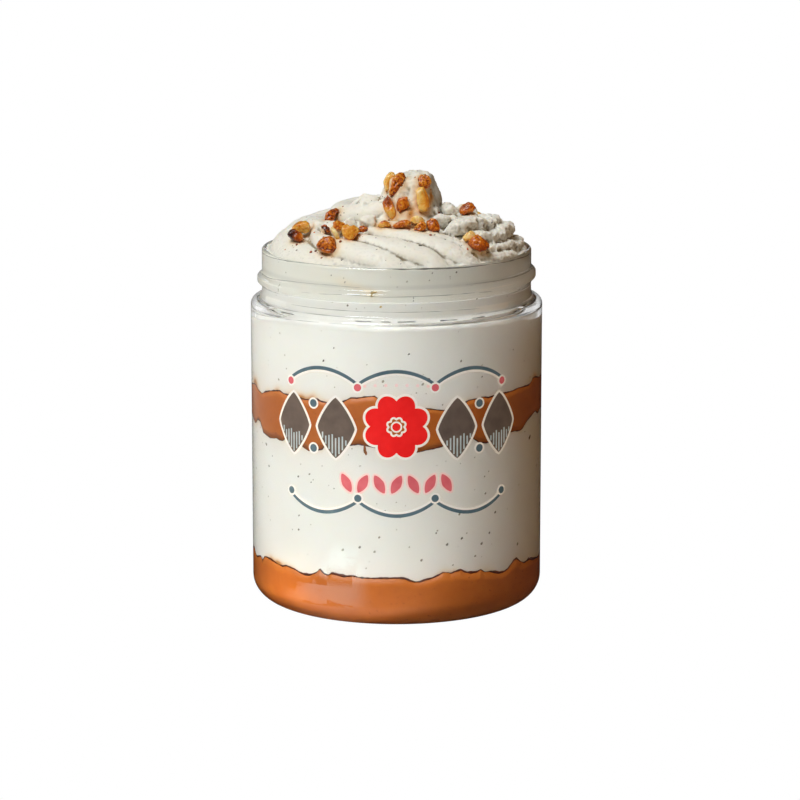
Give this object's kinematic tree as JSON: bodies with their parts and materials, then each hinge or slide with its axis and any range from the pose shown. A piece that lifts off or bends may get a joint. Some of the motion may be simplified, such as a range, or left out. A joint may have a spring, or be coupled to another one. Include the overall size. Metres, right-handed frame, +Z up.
{
  "type": "layered praline and vanilla cream dessert in a screw-neck jar",
  "caption": "Single-serve dessert of praline and speckled vanilla cream layers in a clear screw-neck jar, heaped with piped whipped cream and caramelised nut pieces.",
  "frame": {"origin": "centre of the jar's base on the plane it stands on", "axes": "+Z up along the jar's axis; -Y is the front, where the peak leans; +X to the right seen from the front"},
  "size_m": [0.0654, 0.0654, 0.0976],
  "materials": {
    "clear_plastic": "clear injection-blown plastic, glossy",
    "praline": "smooth hazelnut praline cream, soft satin",
    "vanilla_cream": "vanilla cream with fine dark seeds, soft satin",
    "whipped_cream": "piped whipped cream with vanilla seeds, matt",
    "nut_pale": "pale caramelised nut, thin sugar gloss",
    "nut_amber": "amber caramelised nut, sugar gloss",
    "nut_brown": "deep brown caramelised nut, sugar gloss",
    "nut_dark": "dark roasted nut with skin, sugar gloss"
  },
  "bodies": {
    "root": {"jar": "clear_plastic", "praline_bottom": "praline", "cream_middle": "vanilla_cream", "praline_middle": "praline", "cream_top": "vanilla_cream", "cream_swirl": "whipped_cream", "nut_01": "nut_pale", "nut_02": "nut_dark", "nut_03": "nut_brown", "nut_04": "nut_brown", "nut_05": "nut_brown", "nut_06": "nut_amber", "nut_07": "nut_pale", "nut_08": "nut_brown", "nut_09": "nut_brown", "nut_10": "nut_pale", "nut_11": "nut_brown", "nut_12": "nut_amber", "nut_13": "nut_amber", "nut_14": "nut_brown", "nut_15": "nut_pale", "nut_16": "nut_amber", "nut_17": "nut_brown", "nut_18": "nut_pale", "nut_19": "nut_amber", "nut_20": "nut_brown", "nut_21": "nut_brown", "nut_22": "nut_pale", "nut_23": "nut_brown", "nut_24": "nut_brown", "nut_25": "nut_amber", "nut_26": "nut_brown", "nut_27": "nut_pale", "nut_28": "nut_brown", "nut_29": "nut_amber"}
  },
  "joints": []
}
